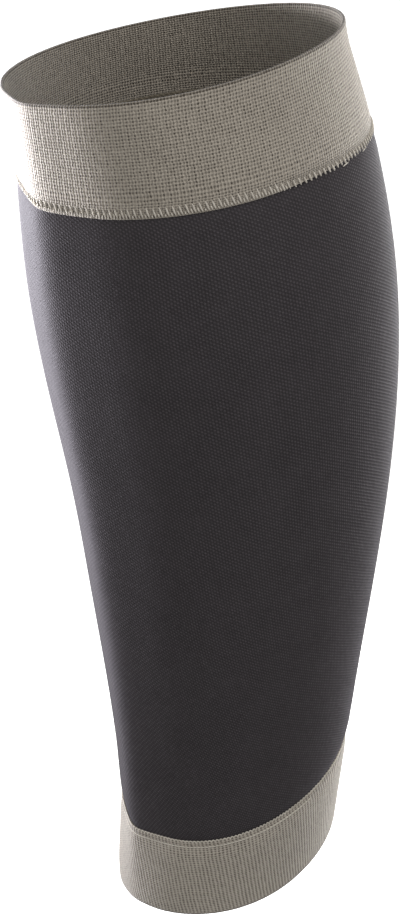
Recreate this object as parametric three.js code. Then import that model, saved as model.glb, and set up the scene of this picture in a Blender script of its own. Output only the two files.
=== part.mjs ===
// A knitted compression sleeve for the left lower leg, empty, in the form of the leg that it is made for.
// Sizes are in millimetres. +Z runs up the leg from the centre of the ankle opening, the shin faces -Y
// and the outer side of the leg faces +X.
import * as THREE from 'three';
import { LoftGeometry } from 'three/addons/geometries/LoftGeometry.js';

// Lengths along the leg
const sleeveLength = 290;
const topCuffHeight = 32.5;
const bottomCuffHeight = 31.5;

// Outer sizes of the three sections that set the form, side to side and shin to calf
const ankleWidth = 69;
const ankleDepth = 81;
const calfWidth = 120;
const calfDepth = 121;
const kneeWidth = 105.5;
const kneeDepth = 111.5;

// How far the middle of a section lies behind the middle of the ankle
const calfBack = 18.6;
const kneeBack = 10.5;

// The shin's crest: how far it stands out of the oval section, how far it lies from straight ahead towards
// the outer side, and how round its edge is, as an angle
const crestHeight = 5;
const crestTurn = THREE.MathUtils.degToRad(1);
const crestRounding = THREE.MathUtils.degToRad(5);

// Most height that an edge of a cuff gains or loses in a wave with two crests round the leg
const edgeWave = 3;

// Cloth and seams
const bodyWall = 1;
const cuffWall = 1.3;
const pieceGap = 0.3;
const seamOverlap = 8;
const tuckLength = 4;
const topSeamHeight = 3.2;
const bottomSeamHeight = 2;

// How far the two edges of a seam fall back from its middle, as a share of its thickness
const seamRounding = 0.3;

// Fineness of the surfaces. Columns lie closer together at the crest by this share
const columns = 64;
const crestCrowding = 0.5;
const bodyOuterRows = 12;
const bodyInnerRows = 13;
const tuckRows = 4;
const cuffRows = 5;
const edgeSteps = 4;

// The form of the leg. Height is a share of the sleeve's length. Width, depth and back are 0 at the size of
// the row's end of the leg and 1 at the size of the calf. Crest is a share of the crest's height.
const ankle = { width: ankleWidth, depth: ankleDepth, back: 0 };
const calf = { width: calfWidth, depth: calfDepth, back: calfBack };
const knee = { width: kneeWidth, depth: kneeDepth, back: kneeBack };
const legRows = [
  { end: ankle, height: 0, width: 0, depth: 0, back: 0, crest: 0.15 },
  { end: ankle, height: 0.11, width: 0.06, depth: 0.08, back: 0.36, crest: 0.75 },
  { end: ankle, height: 0.23, width: 0.23, depth: 0.27, back: 0.6, crest: 0.7 },
  { end: ankle, height: 0.37, width: 0.48, depth: 0.55, back: 0.83, crest: 0.75 },
  { end: ankle, height: 0.5, width: 0.69, depth: 0.77, back: 1, crest: 0.9 },
  { end: ankle, height: 0.63, width: 0.9, depth: 0.96, back: 1, crest: 0.85 },
  { end: knee, height: 0.75, width: 1, depth: 1, back: 0.85, crest: 0.8 },
  { end: knee, height: 0.89, width: 0.43, depth: 0.51, back: 0.6, crest: 0.75 },
  { end: knee, height: 1, width: 0, depth: 0, back: 0, crest: 0.6 },
];

// The two openings and the two seams. Rise is the climb from shin to calf as a share of the depth, lean the
// climb from the inner to the outer side as a share of the width. Saddle and slant are shares of the edge
// wave: saddle lifts the two sides over the shin and the calf, slant the diagonals.
const topSeam = sleeveLength - topCuffHeight;
const edges = [
  { height: 0, rise: 0.177, lean: 0.011, saddle: -0.76, slant: 0.06 },
  { height: bottomCuffHeight, rise: 0.203, lean: -0.047, saddle: -0.46, slant: 0.4 },
  { height: topSeam, rise: 0.045, lean: -0.033, saddle: 0.42, slant: 0.1 },
  { height: sleeveLength, rise: 0.046, lean: 0.081, saddle: -0.07, slant: 0.25 },
];

// A smooth curve through the rows of a table, as a function of height that gives the named values
function smoothTable(rows, heightOf, names, valueOf) {
  const heights = rows.map(heightOf);
  const values = rows.flatMap((row) => names.map((name) => valueOf(row, name)));
  const curve = new THREE.CubicInterpolant(heights, values, names.length);
  return (height) => {
    const found = curve.evaluate(THREE.MathUtils.clamp(height, heights[0], heights.at(-1)));
    return Object.fromEntries(names.map((name, i) => [name, found[i]]));
  };
}

const legAt = smoothTable(
  legRows,
  (row) => row.height * sleeveLength,
  ['width', 'depth', 'back', 'crest'],
  (row, name) => (name === 'crest'
    ? row.crest * crestHeight
    : THREE.MathUtils.lerp(row.end[name], calf[name], row[name])),
);

// The waves of the edges, which change evenly from one edge to the next
function edgeAt(height) {
  const above = Math.max(1, edges.findIndex((edge, i) => edge.height >= height || i === edges.length - 1));
  const [low, high] = [edges[above - 1], edges[above]];
  const share = THREE.MathUtils.clamp((height - low.height) / (high.height - low.height), 0, 1);
  const between = (name) => THREE.MathUtils.lerp(low[name], high[name], share);
  return { rise: between('rise'), lean: between('lean'), saddle: between('saddle'), slant: between('slant') };
}

const crestAngle = crestTurn - Math.PI / 2;

// A point of the leg's surface, moved inwards by inset, at an angle from the outer side towards the calf
function legPoint(height, angle, inset) {
  const leg = legAt(height);
  const halfWidth = leg.width / 2 - inset;
  const halfDepth = leg.depth / 2 - inset;
  const turn = Math.abs(THREE.MathUtils.euclideanModulo(angle - crestAngle + Math.PI, 2 * Math.PI) - Math.PI);
  // Two flat planes run from the crest until they touch the oval
  const flatSpan = Math.acos(1 / (1 + Math.max(0, leg.crest) / halfDepth));
  const reach = 1 / Math.cos(Math.max(0, flatSpan - Math.hypot(turn, crestRounding)));
  return new THREE.Vector2(
    halfWidth * reach * Math.cos(angle),
    leg.back + halfDepth * reach * Math.sin(angle),
  );
}

// The same point with its height, which follows the waves of the edges
function surfacePoint(height, angle, inset) {
  const edge = edgeAt(height);
  const flat = legPoint(height, angle, inset);
  const climb = edge.rise * (flat.y - legAt(height).back) + edge.lean * flat.x
    + edgeWave * (edge.saddle * Math.cos(2 * angle) + edge.slant * Math.sin(2 * angle));
  const placed = legPoint(height + climb, angle, inset);
  return new THREE.Vector3(placed.x, placed.y, height + climb);
}

// The angle of a column, counted from the crest, with the columns crowded towards the crest
function columnAngle(column) {
  const even = (2 * Math.PI * column) / columns;
  return crestAngle + even - crestCrowding * Math.sin(even);
}

// A closed wall from a closed profile of heights and insets, which climbs on the outside of the wall
function wall(name, profile, material) {
  const rings = [...profile, profile[0]].map(({ height, inset }) => (
    Array.from({ length: columns }, (_, column) => surfacePoint(height, columnAngle(column), inset))
  ));
  const mesh = new THREE.Mesh(new LoftGeometry(rings, { closed: true }), material);
  mesh.name = name;
  return mesh;
}

// Evenly spaced heights, both ends included
function spaced(from, to, rows) {
  return Array.from({ length: rows + 1 }, (_, i) => THREE.MathUtils.lerp(from, to, i / rows));
}

// How far the body's outside is drawn in, so that it runs under the cuffs
function bodyTuck(height) {
  const full = cuffWall + pieceGap;
  const under = THREE.MathUtils.smoothstep(height, topSeam - tuckLength, topSeam + topSeamHeight);
  const bottomFull = bottomCuffHeight - bottomSeamHeight;
  const above = 1 - THREE.MathUtils.smoothstep(height, bottomFull, bottomCuffHeight + tuckLength);
  return full * Math.max(under, above);
}

// The rounded edge of a cloth wall at the height of an opening, from the outside to the inside. Towards is
// 1 for an edge that faces up and -1 for one that faces down.
function roundedEdge(height, towards, thickness) {
  const radius = thickness / 2;
  return spaced(-Math.PI / 2, Math.PI / 2, edgeSteps).map((angle) => ({
    height: height - towards * radius * (1 - Math.cos(angle)),
    inset: radius * (1 + Math.sin(angle)),
  }));
}

function bodyProfile() {
  const low = bottomCuffHeight - seamOverlap;
  const high = topSeam + seamOverlap;
  const lowTuck = bottomCuffHeight - bottomSeamHeight;
  const lowFree = bottomCuffHeight + tuckLength;
  const highFree = topSeam - tuckLength;
  const highTuck = topSeam + topSeamHeight;
  const outside = [
    low,
    ...spaced(lowTuck, lowFree, tuckRows).slice(0, -1),
    ...spaced(lowFree, highFree, bodyOuterRows).slice(0, -1),
    ...spaced(highFree, highTuck, tuckRows),
    high,
  ];
  const inside = [low, lowTuck, ...spaced(lowFree, highFree, bodyInnerRows), highTuck, high].reverse();
  return [
    ...outside.map((height) => ({ height, inset: bodyTuck(height) })),
    ...inside.map((height) => ({ height, inset: bodyTuck(height) + bodyWall })),
  ];
}

function topCuffProfile() {
  const low = topSeam + topSeamHeight + pieceGap;
  const edge = roundedEdge(sleeveLength, 1, cuffWall);
  const sides = spaced(low, edge[0].height, cuffRows).slice(0, -1);
  return [
    ...sides.map((height) => ({ height, inset: 0 })),
    ...edge,
    ...sides.reverse().map((height) => ({ height, inset: cuffWall })),
  ];
}

function bottomCuffProfile() {
  const high = bottomCuffHeight - bottomSeamHeight - pieceGap;
  const edge = roundedEdge(0, -1, cuffWall).reverse();
  const sides = spaced(edge[0].height, high, cuffRows).slice(1);
  return [
    ...edge,
    ...sides.map((height) => ({ height, inset: 0 })),
    ...sides.reverse().map((height) => ({ height, inset: cuffWall })),
  ];
}

// A band of stitches on the tucked end of the body, which stands out as far as the cuff beside it
function seamProfile(low, high) {
  const middle = (low + high) / 2;
  const seat = (height) => bodyTuck(height) - pieceGap;
  return [
    { height: low, inset: seat(low) * seamRounding },
    { height: middle, inset: 0 },
    { height: high, inset: seat(high) * seamRounding },
    ...[high, middle, low].map((height) => ({ height, inset: seat(height) })),
  ];
}

const bodyKnit = new THREE.MeshStandardMaterial({ color: 0x35312f, roughness: 0.85, metalness: 0 });
const cuffKnit = new THREE.MeshStandardMaterial({ color: 0x9c9484, roughness: 0.9, metalness: 0 });
const seamThread = new THREE.MeshStandardMaterial({ color: 0xaaa18f, roughness: 0.85, metalness: 0 });

const sleeve = new THREE.Group();
sleeve.add(
  wall('sleeve_body', bodyProfile(), bodyKnit),
  wall('top_cuff', topCuffProfile(), cuffKnit),
  wall('bottom_cuff', bottomCuffProfile(), cuffKnit),
  wall('top_seam', seamProfile(topSeam, topSeam + topSeamHeight), seamThread),
  wall('bottom_seam', seamProfile(bottomCuffHeight - bottomSeamHeight, bottomCuffHeight), seamThread),
);

export default sleeve;
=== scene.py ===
# A knitted calf compression sleeve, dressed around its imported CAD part.
# Metres, +Z up the leg, the shin towards -Y and the outer side of the left leg towards +X.
import math
import random

import bmesh
import bpy
from mathutils import Matrix, Vector
from mathutils.bvhtree import BVHTree


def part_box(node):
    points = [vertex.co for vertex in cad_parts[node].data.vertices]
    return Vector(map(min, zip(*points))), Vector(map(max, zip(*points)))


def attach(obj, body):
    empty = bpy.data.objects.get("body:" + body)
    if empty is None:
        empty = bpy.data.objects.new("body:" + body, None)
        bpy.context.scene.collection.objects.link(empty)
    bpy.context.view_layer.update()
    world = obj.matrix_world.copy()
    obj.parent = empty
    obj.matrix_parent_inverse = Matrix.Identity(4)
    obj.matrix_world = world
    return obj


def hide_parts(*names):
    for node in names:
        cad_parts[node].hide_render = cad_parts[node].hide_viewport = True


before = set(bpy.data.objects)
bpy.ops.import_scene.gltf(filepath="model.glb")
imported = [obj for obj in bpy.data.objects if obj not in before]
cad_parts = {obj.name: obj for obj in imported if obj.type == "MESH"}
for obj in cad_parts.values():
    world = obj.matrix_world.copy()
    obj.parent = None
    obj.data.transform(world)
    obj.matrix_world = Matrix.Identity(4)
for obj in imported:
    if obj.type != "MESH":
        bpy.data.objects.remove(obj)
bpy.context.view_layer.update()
print("frame loaded:", ", ".join(sorted(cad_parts)))

# The camera stands in front of the outer side of the leg and looks down a little
cameraSettings = {
    "azimuth": 56.6,        # degrees from the shin towards the outer side
    "elevation": 24.83,
    "roll": -5.75,
    "distance": 0.8217,
    "target": (0.0001, 0.0055, 0.151),
    "focalLength": 96.48,
}


def sideways(azimuth, elevation=0.0):  # the direction of a place seen from the sleeve, in degrees
    turn = math.radians(azimuth)
    climb = math.radians(elevation)
    return Vector((math.sin(turn) * math.cos(climb), -math.cos(turn) * math.cos(climb), math.sin(climb)))


def addCamera(settings):
    back = sideways(settings["azimuth"], settings["elevation"])
    level = sideways(settings["azimuth"] + 90)
    above = back.cross(level)
    roll = math.radians(settings["roll"])
    right = level * math.cos(roll) + above * math.sin(roll)
    up = above * math.cos(roll) - level * math.sin(roll)
    place = Matrix((right, up, back)).transposed().to_4x4()
    place.translation = Vector(settings["target"]) + back * settings["distance"]
    data = bpy.data.cameras.new("camera")
    data.lens = settings["focalLength"]
    camera = bpy.data.objects.new("camera", data)
    camera.matrix_world = place
    bpy.context.scene.collection.objects.link(camera)
    bpy.context.scene.camera = camera


addCamera(cameraSettings)


class Signal:  # a shader socket that takes part in sums
    def __init__(self, tree, socket=None):
        self.tree = tree
        self.socket = socket

    def node(self, kind, settings=None, inputs=None, output=0):
        made = self.tree.nodes.new(kind)
        for name, value in (settings or {}).items():
            setattr(made, name, value)
        for name, value in (inputs or {}).items():
            if isinstance(value, Signal):
                self.tree.links.new(value.socket, made.inputs[name])
            else:
                made.inputs[name].default_value = value
        return Signal(self.tree, made.outputs[output] if made.outputs else None)

    def maths(self, operation, first, second=0.0):
        return self.node("ShaderNodeMath", {"operation": operation}, {0: first, 1: second})

    def __add__(self, other):
        return self.maths("ADD", self, other)

    def __radd__(self, other):
        return self.maths("ADD", other, self)

    def __sub__(self, other):
        return self.maths("SUBTRACT", self, other)

    def __rsub__(self, other):
        return self.maths("SUBTRACT", other, self)

    def __mul__(self, other):
        return self.maths("MULTIPLY", self, other)

    def __rmul__(self, other):
        return self.maths("MULTIPLY", other, self)

    def cosine(self):
        return self.maths("COSINE", self)

    def above(self, low, high):  # a soft step from 0 at low to 1 at high
        return self.node(
            "ShaderNodeMapRange",
            {"interpolation_type": "SMOOTHSTEP"},
            {"Value": self, "From Min": low, "From Max": high},
        )

    def within(self, low, high, fade):  # 1 from low to high and 0 beside them
        return self.above(low, low + fade) * (1 - self.above(high - fade, high))

    def between(self, first, second):  # a mix of two colours, first at 0
        colours = [end if isinstance(end, Signal) else (*end, 1.0) for end in (first, second)]
        return self.node(
            "ShaderNodeMix",
            {"data_type": "RGBA"},
            {0: self, 6: colours[0], 7: colours[1]},
            output=2,
        )


def clothMaterial(name):  # a material with its shader cleared, and a signal to build on
    material = bpy.data.materials.new(name)
    material.use_nodes = True
    tree = material.node_tree
    tree.nodes.clear()
    return material, Signal(tree)


def finishCloth(start, colour, height, settings):
    bump = start.node(
        "ShaderNodeBump",
        None,
        {"Strength": 1.0, "Distance": settings["relief"], "Height": height},
    )
    shader = start.node(
        "ShaderNodeBsdfPrincipled",
        None,
        {
            "Base Color": colour,
            "Roughness": settings["roughness"],
            "Normal": bump,
            "Specular IOR Level": settings["gloss"],
            "Sheen Weight": settings["sheen"],
            "Sheen Roughness": settings["sheenRoughness"],
            "Sheen Tint": (*settings["sheenTint"], 1.0),
        },
    )
    start.node("ShaderNodeOutputMaterial", None, {"Surface": shader})


def knitPlace(start):  # the two coordinates of the knit on a tube, round it and along it
    chart = start.node("ShaderNodeUVMap", {"uv_map": "knit"})
    around = start.node("ShaderNodeSeparateXYZ", None, {"Vector": chart})
    along = Signal(start.tree, around.socket.node.outputs["Y"])
    return around, along


def noise(place, scale, detail):
    return place.node("ShaderNodeTexNoise", None, {"Vector": place, "Scale": scale, "Detail": detail})


# Reading the leg's form from the CAD surfaces
legReading = {
    "reach": 0.12,          # farther out than any wall
    "nudges": (0.0, 0.00002, -0.00002, 0.0003, -0.0003),
    "step": 0.004,          # between two readings of the middle
    "lowest": 0.045,        # heights at which the wall is whole all round the leg
    "highest": 0.249,
    "samples": 240,         # readings round a section
    "seamAngle": 150.0,     # where the knit's chart closes, at the back of the inner side
    "scans": 80,            # readings up a wall, and the least step between them
    "scanStep": 0.0007,
    "halvings": 16,         # tries to find where a wall ends
}


def surfaceOf(name):
    bm = bmesh.new()
    bm.from_mesh(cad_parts[name].data)
    bmesh.ops.remove_doubles(bm, verts=bm.verts, dist=1e-6)
    tree = BVHTree.FromBMesh(bm)
    bm.free()
    return tree


def readMiddles():
    tree = surfaceOf("sleeve_body")
    count = int((legReading["highest"] - legReading["lowest"]) / legReading["step"])
    found = []
    for i in range(count + 1):
        height = legReading["lowest"] + i * legReading["step"]
        front = tree.ray_cast(Vector((0, -legReading["reach"], height)), Vector((0, 1, 0)))[0]
        back = tree.ray_cast(Vector((0, legReading["reach"], height)), Vector((0, -1, 0)))[0]
        found.append((front.y + back.y) / 2)
    return found


middles = readMiddles()


def middleAt(height):
    place = (height - legReading["lowest"]) / legReading["step"]
    place = min(max(place, 0.0), len(middles) - 1.001)  # the last reading has none after it
    low = int(place)
    share = place - low
    return Vector((0, middles[low] * (1 - share) + middles[low + 1] * share, height))


def castNear(tree, angle, height, inwards):  # a ray can slip between two triangles, and one beside it hits
    middle = middleAt(height)
    reach = legReading["reach"]
    for nudge in legReading["nudges"]:
        away = Vector((math.cos(angle + nudge), math.sin(angle + nudge), 0))
        if inwards:
            found = tree.ray_cast(middle + away * reach, -away, reach)[0]
        else:
            found = tree.ray_cast(middle, away, reach)[0]
        if found is not None:
            return found
    return None


def outerPoint(tree, angle, height):
    return castNear(tree, angle, height, True)


def innerPoint(tree, angle, height):
    return castNear(tree, angle, height, False)


def edgeHeight(tree, find, angle, held, free):  # where a wall ends, from a height on it to one beyond it
    for _ in range(legReading["halvings"]):
        half = (held + free) / 2
        if find(tree, angle, half) is None:
            free = half
        else:
            held = half
    return held


def sampleAngles():
    start = math.radians(legReading["seamAngle"])
    return [start + 2 * math.pi * i / legReading["samples"] for i in range(legReading["samples"] + 1)]


def evenRing(points, columns):  # points at even distances along a closed line
    lengths = [0.0]
    for before, after in zip(points, points[1:]):
        lengths.append(lengths[-1] + (after - before).length)
    ring = []
    place = 0
    for column in range(columns + 1):
        wanted = lengths[-1] * column / columns
        while place < len(lengths) - 2 and lengths[place + 1] < wanted:
            place += 1
        span = lengths[place + 1] - lengths[place]
        ring.append(points[place].lerp(points[place + 1], (wanted - lengths[place]) / span))
    return ring


class Wall:  # one side of a cloth wall, read from its CAD node
    def __init__(self, node, find, trimBelow=0.0, trimAbove=0.0):
        self.tree = surfaceOf(node)
        self.find = find
        self.angles = sampleAngles()
        self.tops = []
        self.bottoms = []
        low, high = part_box(node)
        step = max(legReading["scanStep"], (high.z - low.z) / legReading["scans"])
        heights = [low.z + step * i for i in range(int((high.z - low.z) / step) + 1)]
        for angle in self.angles:
            held = [height for height in heights if find(self.tree, angle, height) is not None]
            top = edgeHeight(self.tree, find, angle, held[-1], held[-1] + step)
            bottom = edgeHeight(self.tree, find, angle, held[0], held[0] - step)
            self.tops.append(top - trimAbove)
            self.bottoms.append(bottom + trimBelow)

    def ring(self, share, columns, edge=0.0):  # a ring at a share of the height, edge inside both ends
        points = []
        for angle, top, bottom in zip(self.angles, self.tops, self.bottoms):
            height = bottom + edge + (top - bottom - 2 * edge) * share
            points.append(self.find(self.tree, angle, height) or points[-1])
        return evenRing(points, columns)


# Shaping a tube of cloth from rings of points
freeEnds = {
    "start": 0.53,          # from where to where round the leg the top seam's stitches stand free of the
    "end": 0.95,            # cuff, as shares of a round from the chart's closing line
    "fade": 0.07,
}


def softStep(value, low, high):
    share = min(max((value - low) / (high - low), 0.0), 1.0)
    return share * share * (3 - 2 * share)


def freeAt(share):
    start = softStep(share, freeEnds["start"], freeEnds["start"] + freeEnds["fade"])
    return start * (1 - softStep(share, freeEnds["end"] - freeEnds["fade"], freeEnds["end"]))


def moved(point, out, up):  # a point pushed off the cloth and up the leg
    away = (point - middleAt(point.z)).normalized()
    return point + away * out + Vector((0, 0, up))


def crowdedShares(rows, crowding):  # shares from 0 to 1, closer together at both ends
    return [i / rows - crowding * math.sin(2 * math.pi * i / rows) / (2 * math.pi) for i in range(rows + 1)]


def lengthened(ring, nearby, length, settings):  # a ring carried on past the end of a wall, and inwards
    carried = []
    for i, (point, before) in enumerate(zip(ring, nearby)):
        added = length - settings["hemShorter"] * freeAt(i / (len(ring) - 1))
        away = (point - middleAt(point.z)).normalized()
        carried.append(point + (point - before).normalized() * added - away * settings["hemSink"])
    return carried


def wallRings(node, find, rows, settings):  # the rings up one side of a wall, with its sewn end
    side = Wall(node, find, settings["trimBelow"], settings["trimAbove"])
    shares = crowdedShares(rows, settings["crowding"])
    rings = [side.ring(share, settings["columns"], settings["wall"] / 2) for share in shares]
    if settings["hemBelow"]:
        rings[0] = lengthened(rings[1], rings[3], settings["hemBelow"], settings)
    if settings["hemAbove"]:
        rings[-1] = lengthened(rings[-2], rings[-4], settings["hemAbove"], settings)
    return rings


def roundEdge(outer, inner, towards, steps):  # half a circle from one ring to the other
    rings = []
    for step in range(1, steps):
        turn = math.pi * step / steps
        ring = []
        for first, second in zip(outer, inner):
            half = (first - second) / 2
            lift = Vector((0, 0, towards * half.length * math.sin(turn)))
            ring.append((first + second) / 2 + half * math.cos(turn) + lift)
        rings.append(ring)
    return rings


def ringHeights(rings):  # how far each ring lies along the cloth from the first one
    lengths = [0.0]
    for before, after in zip(rings, rings[1:]):
        steps = [(b - a).length for a, b in zip(before, after)]
        lengths.append(lengths[-1] + sum(steps) / len(steps))
    return lengths


def addObject(name, bm):
    for face in bm.faces:
        face.smooth = True
    mesh = bpy.data.meshes.new(name)
    bm.to_mesh(mesh)
    bm.free()
    made = bpy.data.objects.new(name, mesh)
    bpy.context.scene.collection.objects.link(made)
    return made


def knitTube(name, node, settings, twist):
    columns = settings["columns"]
    outer = wallRings(node, outerPoint, settings["outerRows"], settings)
    inner = wallRings(node, innerPoint, settings["innerRows"], settings)
    inner.reverse()
    top = roundEdge(outer[-1], inner[0], 1, settings["edgeSteps"])
    bottom = roundEdge(inner[-1], outer[0], -1, settings["edgeSteps"])
    rings = outer + top + inner + bottom + [outer[0]]
    rows = len(rings) - 1
    lengths = ringHeights(rings)
    wallHeight = lengths[len(outer) - 1]

    bm = bmesh.new()
    chart = bm.loops.layers.uv.new("knit")
    bmesh.ops.create_grid(bm, x_segments=columns, y_segments=rows, size=0.5)
    places = {}
    for vert in bm.verts:
        places[vert] = (round((vert.co.x + 0.5) * columns), round((vert.co.y + 0.5) * rows))
    for face in bm.faces:
        for loop in face.loops:
            column, row = places[loop.vert]
            along = lengths[row] / wallHeight
            loop[chart].uv = (column / columns + twist(settings, min(along, 1.0)), along)
    for vert, (column, row) in places.items():
        vert.co = rings[row][column]

    # The rows at both rims keep their form, and the others are smoothed
    fixed = {0}
    fixed |= set(range(len(outer) - 1, len(outer) + len(top) + 1))
    fixed |= set(range(len(rings) - len(bottom) - 2, len(rings)))
    free = [vert for vert, (column, row) in places.items() if row not in fixed]
    bmesh.ops.remove_doubles(bm, verts=bm.verts, dist=1e-6)
    free = [vert for vert in free if vert.is_valid]
    for _ in range(settings["smoothing"]):
        bmesh.ops.smooth_vert(
            bm,
            verts=free,
            factor=0.5,
            use_axis_x=True,
            use_axis_y=True,
            use_axis_z=True,
        )
    bmesh.ops.recalc_face_normals(bm, faces=bm.faces)
    piece = addObject(name, bm)
    finer = piece.modifiers.new("finer", "SUBSURF")
    finer.levels = settings["finer"]
    finer.render_levels = settings["finer"]
    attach(piece, "root")
    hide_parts(node)
    return piece


# The dark body
bodySettings = {
    "columns": 160,
    "outerRows": 48,
    "innerRows": 40,
    "crowding": 0.75,
    "edgeSteps": 3,
    "smoothing": 6,
    "finer": 1,
    "wall": 0.001,
    "trimBelow": 0.0055,    # how much of the hidden ends is left off
    "trimAbove": 0.0068,
    "hemBelow": 0.0,
    "hemAbove": 0.0,
    "wales": 368,           # columns of stitches round the leg
    "courses": 183,         # rows of stitches along the body
    "turns": -0.1,          # how far the columns turn round the leg near the ankle, in rounds
    "turnsEase": 4.2,       # how soon that fades up the leg
    "bound": 0.045,         # length of the thread-covered ends inside, as a share of the body's
    # how much lighter the knit gets towards the top of the body
    "stretchedLighter": 0.1,
    "patchScale": 90.0,
    "unevenScale": 620.0,
    "fuzzScale": 1500.0,
    "deep": (0.032, 0.0286, 0.0298),
    "raised": (0.092, 0.0825, 0.0878),
    "boundDark": (0.1, 0.085, 0.065),
    "boundLight": (0.3, 0.26, 0.2),
    "relief": 0.00013,
    "roughness": 0.8,
    "gloss": 0.04,
    "sheen": 0.05,
    "sheenRoughness": 0.35,
    "sheenTint": (0.84, 0.8, 1.0),
}


def bodyTwist(settings, share):
    return settings["turns"] * (1 - share) ** settings["turnsEase"]


def bodyKnit(settings):
    material, start = clothMaterial("body_knit")
    around, along = knitPlace(start)
    waleTurn = around * (math.pi * settings["wales"])
    courseTurn = along * (2 * math.pi * settings["courses"])
    wale = waleTurn.cosine()
    place = start.node("ShaderNodeTexCoord", output="Object")
    patches = noise(place, settings["patchScale"], 3.0)
    uneven = noise(place, settings["unevenScale"], 1.0)
    fuzz = noise(place, settings["fuzzScale"], 2.0)
    ridge = (waleTurn + courseTurn).cosine()  # the slanted ridges that pairs of stitches make
    dot = (wale * courseTurn.cosine()).above(-0.1, 0.9)
    stitch = (dot * 0.6 + wale * wale * 0.32 + ridge * 0.07 + 0.05) * (uneven * 1.3 + 0.35)
    upwardLightening = along.above(0.0, 1.0) * settings["stretchedLighter"]  # lighter towards the top of the body
    light = stitch * 0.75 + fuzz * 0.3 + patches * 0.25 + upwardLightening - 0.25
    yarn = light.between(settings["deep"], settings["raised"])
    # Inside, thread covers the knit at both sewn ends. The chart runs down the inside from 1 to about 2
    bound = settings["bound"]
    upperEnd = along.above(1.0, 1.002) * (1 - along.above(1.0 + bound, 1.004 + bound))
    lowerEnd = along.above(1.99 - bound, 1.994 - bound)
    thread = fuzz.between(settings["boundDark"], settings["boundLight"])
    colour = (upperEnd + lowerEnd).between(yarn, thread)
    finishCloth(start, colour, stitch * 0.6 + ridge * 0.2 + fuzz * 0.3, settings)
    return material


body = knitTube("knit_body", "sleeve_body", bodySettings, bodyTwist)
body.data.materials.append(bodyKnit(bodySettings))
print("body knitted:", len(body.data.polygons), "faces")

# The two cuffs, and what they have in common
cuffSettings = {
    "outerRows": 14,
    "innerRows": 12,
    "crowding": 0.4,
    "edgeSteps": 5,
    "smoothing": 3,
    "finer": 1,
    "wall": 0.0013,
    "trimBelow": 0.0,
    "trimAbove": 0.0,
    "unevenScale": 700.0,
    "fuzzScale": 1800.0,
    "patchScale": 60.0,
    "hole": (0.075, 0.06, 0.045),
    "edgeFade": 0.012,      # how softly the painted shade at the seam and at the rim begins and ends
    "rimFade": 0.01,
    # painted shade on the rounded rims
    "rimShade": 0.45,
    "relief": 0.00036,
    "roughness": 0.85,
    "gloss": 0.1,
    "sheen": 0.35,
    "sheenRoughness": 0.5,
    "sheenTint": (0.97, 0.97, 1.0),
}

topCuffSettings = {
    **cuffSettings,
    "columns": 192,
    "hemBelow": 0.0058,     # how far the sewn end runs on under the stitches
    "hemAbove": 0.0,
    "hemShorter": 0.0006,   # how much less of it lies under them where they stand free
    "hemSink": 0.0002,      # how far it is drawn in
    "wales": 348,
    "courses": 34,
    "ribbed": False,
    "lean": -0.0195,        # how far the columns lean over the cuff's height, in rounds
    "zigzag": 0.5,
    "swayScale": 650.0,
    "sway": 3.2,
    "yarn": (0.53, 0.472, 0.392),
    "sewn": (-0.2, 0.11),   # where painted shade darkens the cloth under the seam's stitches, as shares of the height
    "sewnShade": 0.08,
    "rim": (0.99, 1.07),
}

bottomCuffSettings = {
    **cuffSettings,
    "columns": 160,
    "hemBelow": 0.0,
    "hemAbove": 0.0036,
    "hemShorter": 0.0,
    "hemSink": 0.0006,
    "wales": 190,
    "courses": 38,
    "ribbed": True,
    "lean": 0.05,
    "zigzag": 0.0,
    "swayScale": 500.0,
    "sway": 2.0,
    "yarn": (0.5, 0.45, 0.38),
    "sewn": (0.945, 0.985),
    "sewnShade": 0.16,
    "rim": (2.03, 2.5),
}


def cuffLean(settings, share):
    return settings["lean"] * share


def cuffKnit(name, settings):
    material, start = clothMaterial(name)
    around, along = knitPlace(start)
    place = start.node("ShaderNodeTexCoord", output="Object")
    sway = noise(place, settings["swayScale"], 1.0)
    climb = start.node(
        "ShaderNodeTexNoise",
        {"noise_dimensions": "4D"},
        {"Vector": place, "W": 7.0, "Scale": settings["swayScale"], "Detail": 1.0},
    )
    uneven = noise(place, settings["unevenScale"], 1.0)
    course = along * (2 * math.pi * settings["courses"]) + (climb - 0.5) * settings["sway"]
    wale = around * (2 * math.pi * settings["wales"]) + (sway - 0.5) * settings["sway"]
    wale = wale + (course * 0.5).cosine() * settings["zigzag"]
    columns = wale.cosine() * 0.5 + 0.5
    rows = course.cosine() * 0.5 + 0.5
    pits = (columns * rows).above(0.05, 0.95)
    if settings["ribbed"]:
        hole = pits * 0.6 + columns * 0.26 + rows * 0.16
        height = (1 - columns) * 0.5 + (1 - rows) * 0.4
    else:
        pairs = (wale * 0.5).cosine()
        # Lightest where the yarns cross and darker along the threads between: a painted highlight on the
        # raised crossings
        hole = pits * (pairs * 0.14 + 0.5) + (1 - (1 - columns) * (1 - rows)) * 0.35
        height = (1 - hole) + pairs * 0.15 - columns * 0.2
    # Inside the cuff the holes are stronger and the cloth darker: painted shade
    inside = along.above(1.0, 1.06) * (1 - along.above(1.98, 2.02))
    hole = hole * (uneven * 1.4 + 0.3) * (inside * 0.4 + 1) - inside * 0.05
    fuzz = noise(place, settings["fuzzScale"], 2.0)
    patches = noise(place, settings["patchScale"], 3.0)
    # Painted shade along the seam, where the stitches draw the cloth in
    sewn = along.within(*settings["sewn"], settings["edgeFade"])
    # Painted shade on the rounded rims
    rim = along.within(*settings["rim"], settings["rimFade"])
    if settings["rim"][1] > 2:  # the lower rim is where the chart starts and ends
        rim = rim + 1 - along.above(0.0, settings["rimFade"])
    shade = hole * 0.9 + (fuzz - 0.5) * 0.4 + (patches - 0.5) * 0.25
    # The painted shade at the seam and on the rims draws the yarn towards the hole colour
    shade = shade + sewn * settings["sewnShade"] + rim * settings["rimShade"]
    finishCloth(start, shade.between(settings["yarn"], settings["hole"]), height + fuzz * 0.3, settings)
    return material


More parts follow.
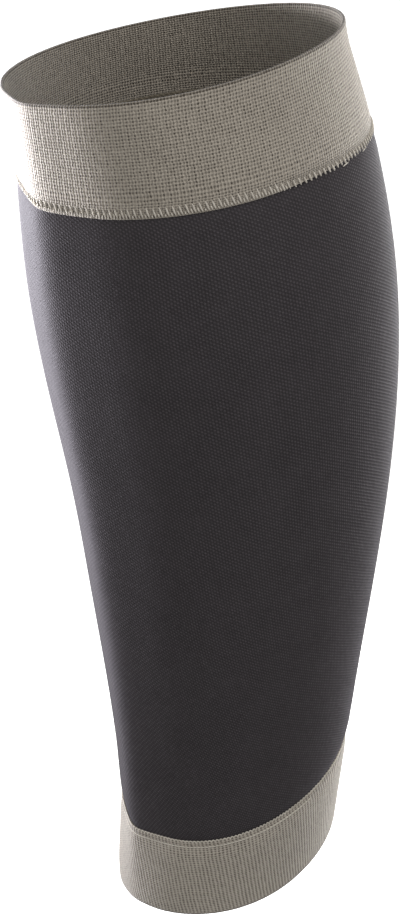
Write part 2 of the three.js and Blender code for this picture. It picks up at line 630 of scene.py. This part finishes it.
topCuff = knitTube("knit_top_cuff", "top_cuff", topCuffSettings, cuffLean)
topCuff.data.materials.append(cuffKnit("top_cuff_knit", topCuffSettings))
bottomCuff = knitTube("knit_bottom_cuff", "bottom_cuff", bottomCuffSettings, cuffLean)
bottomCuff.data.materials.append(cuffKnit("bottom_cuff_knit", bottomCuffSettings))
print("cuffs knitted")

# The stitches of the two seams
threadSettings = {
    "segments": 8,          # of the rounded form that every stitch is scaled from
    "rings": 6,
    "bedding": 0.15,        # how far a stitch's middle stands off the cloth, as a share of its depth
    "fuzzScale": 2200.0,
    "patchScale": 300.0,
    "dark": (0.4, 0.36, 0.3),
    "light": (0.8, 0.745, 0.66),
    "relief": 0.0001,
    "roughness": 0.75,
    "gloss": 0.05,
    "sheen": 0.15,
    "sheenRoughness": 0.5,
    "sheenTint": (1.0, 0.98, 0.95),
}


def threadMaterial(settings):
    material, start = clothMaterial("seam_thread")
    place = start.node("ShaderNodeTexCoord", output="Object")
    fuzz = noise(place, settings["fuzzScale"], 3.0)
    patches = noise(place, settings["patchScale"], 1.0)
    colour = (fuzz * 0.7 + patches * 0.6 - 0.15).between(settings["dark"], settings["light"])
    finishCloth(start, colour, fuzz, settings)
    return material


def roundedStitch(settings):
    bm = bmesh.new()
    bmesh.ops.create_uvsphere(bm, u_segments=settings["segments"], v_segments=settings["rings"], radius=1.0)
    mesh = bpy.data.meshes.new("stitch")
    bm.to_mesh(mesh)
    bm.free()
    return mesh


thread = threadMaterial(threadSettings)
stitchForm = roundedStitch(threadSettings)


def addStitch(bm, low, high, width, depth, proud=0.0):  # one stitch laid on the cloth from low to high
    along = high - low
    middle = (low + high) / 2
    away = (middle - middleAt(middle.z)).normalized()
    side = along.normalized().cross(away).normalized()
    away = side.cross(along.normalized())
    shape = Matrix((side * width / 2, away * depth / 2, along / 2)).transposed().to_4x4()
    shape.translation = middle + away * (proud + depth * threadSettings["bedding"])
    stitch = stitchForm.copy()
    stitch.transform(shape)
    bm.from_mesh(stitch)
    bpy.data.meshes.remove(stitch)


def threadRing(bm, points, radius):  # a closed round thread through points
    curve = bpy.data.curves.new("thread", "CURVE")
    curve.dimensions = "3D"
    curve.bevel_depth = radius
    curve.bevel_resolution = 1
    line = curve.splines.new("POLY")
    line.points.add(len(points) - 1)
    for place, point in zip(line.points, points):
        place.co = (*point, 1.0)
    line.use_cyclic_u = True
    holder = bpy.data.objects.new("thread", curve)
    bpy.context.scene.collection.objects.link(holder)
    bm.from_mesh(holder.to_mesh())
    holder.to_mesh_clear()
    bpy.data.objects.remove(holder)
    bpy.data.curves.remove(curve)


def finishSeam(name, bm, node):
    piece = addObject(name, bm)
    piece.data.materials.append(thread)
    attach(piece, "root")
    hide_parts(node)
    return piece


topStitches = {
    "bars": 177,
    "steps": 4,             # places on a ring for each bar
    "lowest": 0.06,         # from where to where the bars lean, as shares of the seam's height
    "highest": 0.98,
    "leanSteps": 1,         # how far a bar's upper end is moved back
    "barWidth": 0.00062,
    "barDepth": 0.0005,
    "barLength": 0.0033,
    "proud": 0.00005,
    "smallLength": 0.0012,  # the lower bars between
    "smallSize": 0.8,       # their width and depth, as a share of a bar's
    "drop": 0.0005,         # how far the ends hang over the body where they stand free
    "freeShorter": 0.25,    # what else changes there, as shares of a bar's length, width and depth
    "freeWider": 0.25,
    "freeDeeper": 0.3,
    "freeProud": 0.0001,
    "looseEnds": (0.634, 0.672),  # where threads lie along the edge, as shares of a round
    "looseLength": 0.0045,
    "looseWidth": 0.0004,
    "looseStart": (0.0, -0.0008),  # how far off the cloth and up the leg each one starts, and then lies
    "looseNext": (0.0001, -0.0004),
    "looseSpan": 0.01,      # from the start to there, as a share of a round
}


def sewTop(settings):
    random.seed(4)
    wall = Wall("top_seam", outerPoint)
    count = settings["bars"]
    places = count * settings["steps"]
    low = wall.ring(settings["lowest"], places)
    high = wall.ring(settings["highest"], places)
    bm = bmesh.new()
    for i in range(count):
        place = i * settings["steps"]
        free = freeAt(i / count)
        start = low[place]
        direction = (high[(place - settings["leanSteps"]) % places] - start).normalized()
        length = settings["barLength"] * random.uniform(0.9, 1.06) * (1 - free * settings["freeShorter"])
        start = start - direction * settings["drop"] * free * random.uniform(0.2, 1.0)
        width = settings["barWidth"] * (1 + free * settings["freeWider"])
        depth = settings["barDepth"] * (1 + free * settings["freeDeeper"])
        proud = settings["proud"] + free * settings["freeProud"]
        addStitch(bm, start, start + direction * length, width, depth, proud)
        start = low[(place + settings["steps"] // 2) % places]
        length = settings["smallLength"] * random.uniform(0.6, 1.5)
        if free < 0.5:
            depth = settings["barDepth"] * settings["smallSize"]
            addStitch(bm, start, start + direction * length, width * settings["smallSize"], depth)
    for share in settings["looseEnds"]:  # a cut thread that lies along the edge under the bars
        start = moved(low[round(share * places)], *settings["looseStart"])
        end = moved(low[round((share + settings["looseSpan"]) * places)], *settings["looseNext"])
        length = settings["looseLength"] * random.uniform(0.7, 1.1)
        end = start + (end - start).normalized() * length
        addStitch(bm, start, end, settings["looseWidth"], settings["looseWidth"])
    return finishSeam("top_stitches", bm, "top_seam")


bottomStitches = {
    "loops": 190,
    "steps": 6,             # points of a loop
    "loopRow": 0.85,        # where the loops start, as a share of the seam's height
    "loopHeight": 0.0007,
    "loopThread": 0.00022,  # half the thread's thickness
    "loopSink": 0.0005,     # how far it lies inside the seam's surface
    "linkLength": 0.0014,
    "linkWidth": 0.0006,
    "linkDepth": 0.00042,
    "linkSink": 0.00015,
    "linkLean": 0.0001,     # how far a link's ends lie above and below its row
}


def sewBottom(settings):
    random.seed(7)
    wall = Wall("bottom_seam", outerPoint)
    count = settings["loops"]
    steps = settings["steps"]
    edge = wall.ring(settings["loopRow"], count * steps)[:-1]
    loops = []
    for i, point in enumerate(edge):
        rise = settings["loopHeight"] * abs(math.sin(math.pi * i / steps))
        loops.append(moved(point, -settings["loopSink"], rise))
    bm = bmesh.new()
    threadRing(bm, loops, settings["loopThread"])
    chain = wall.ring(0.0, count * 2)
    for i in range(count):
        first = moved(chain[2 * i], -settings["linkSink"], settings["linkLean"])
        second = moved(chain[2 * i + 2], -settings["linkSink"], -settings["linkLean"])
        middle = (first + second) / 2
        half = (second - first).normalized() * settings["linkLength"] / 2 * random.uniform(0.92, 1.05)
        addStitch(bm, middle - half, middle + half, settings["linkWidth"], settings["linkDepth"])
    return finishSeam("bottom_stitches", bm, "bottom_seam")


topSewing = sewTop(topStitches)
bottomSewing = sewBottom(bottomStitches)
print("seams sewn")

# Floor, backdrop and lights
stageSettings = {
    "floorHeight": -0.25,
    "floorSize": 8.0,
    "white": 0.9,
    "glow": 0.7,
    "below": 0.31,          # light of the surroundings from below and from above
    "overhead": 0.7,
    "risesFrom": -0.6,      # where it changes from one to the other, from -1 below to 1 overhead
    "risesTo": 0.8,
}

# The side lights stand behind the sleeve. Azimuths are in degrees from the camera's, and tilt is how far a
# light is aimed above the sleeve's middle, as a rise over its run
lights = [
    {
        "name": "left_light",
        "azimuth": -129,
        "elevation": 1,
        "distance": 0.8,
        "size": (0.7, 0.24),
        "power": 12.6,
        "tilt": 0.36,
        "spread": 75,
        "colour": (0.92, 0.925, 1.0),
    },
    {
        "name": "right_light",
        "azimuth": 138,
        "elevation": -8,
        "distance": 0.7,
        "size": (0.6, 0.36),
        "power": 9.5,
        "tilt": 0.0,
        "spread": 180,
        "colour": (1.0, 1.0, 1.0),
    },
    {
        "name": "front_light",
        "azimuth": 50,
        "elevation": 46,
        "distance": 1.2,
        "size": (0.9, 0.6),
        "power": 3.6,
        "tilt": 0.0,
        "spread": 180,
        "colour": (1.0, 1.0, 1.0),
    },
]


def addStage(settings):
    bm = bmesh.new()
    bmesh.ops.create_grid(bm, x_segments=1, y_segments=1, size=settings["floorSize"] / 2)
    bmesh.ops.translate(bm, verts=bm.verts, vec=(0, 0, settings["floorHeight"]))
    floor = addObject("floor", bm)
    material, start = clothMaterial("pale_floor")
    shader = start.node(
        "ShaderNodeBsdfPrincipled",
        None,
        {
            "Base Color": (settings["white"],) * 3 + (1.0,),
            "Roughness": 0.9,
            "Specular IOR Level": 0.1,
            "Emission Color": (1.0, 1.0, 1.0, 1.0),
            "Emission Strength": settings["glow"],
        },
    )
    start.node("ShaderNodeOutputMaterial", None, {"Surface": shader})
    floor.data.materials.append(material)
    floor.visible_diffuse = False


def addSurroundings(settings):
    world = bpy.data.worlds.new("studio")
    world.use_nodes = True
    world.node_tree.nodes.clear()
    start = Signal(world.node_tree)
    seen = start.node("ShaderNodeLightPath")
    place = start.node("ShaderNodeTexCoord", output="Generated")
    height = start.node("ShaderNodeSeparateXYZ", None, {"Vector": place}, output="Z")
    risen = height.above(settings["risesFrom"], settings["risesTo"])
    lit = risen * (settings["overhead"] - settings["below"]) + settings["below"]
    strength = seen + (1 - seen) * lit  # white to the camera itself
    glow = start.node("ShaderNodeBackground", None, {"Color": (1.0, 1.0, 1.0, 1.0), "Strength": strength})
    start.node("ShaderNodeOutputWorld", None, {"Surface": glow})
    bpy.context.scene.world = world


def addLight(settings):
    data = bpy.data.lights.new(settings["name"], "AREA")
    data.shape = "RECTANGLE"
    data.size, data.size_y = settings["size"]
    data.energy = settings["power"]
    data.spread = math.radians(settings["spread"])
    data.color = settings["colour"]
    light = bpy.data.objects.new(settings["name"], data)
    light.visible_camera = False
    away = sideways(cameraSettings["azimuth"] + settings["azimuth"], settings["elevation"])
    light.rotation_euler = (away - Vector((0, 0, settings["tilt"]))).to_track_quat("Z", "Y").to_euler()
    light.location = Vector(cameraSettings["target"]) + away * settings["distance"]
    bpy.context.scene.collection.objects.link(light)


addStage(stageSettings)
addSurroundings(stageSettings)
for lightSettings in lights:
    addLight(lightSettings)
bpy.context.scene.view_settings.view_transform = "Standard"
print("studio lit")
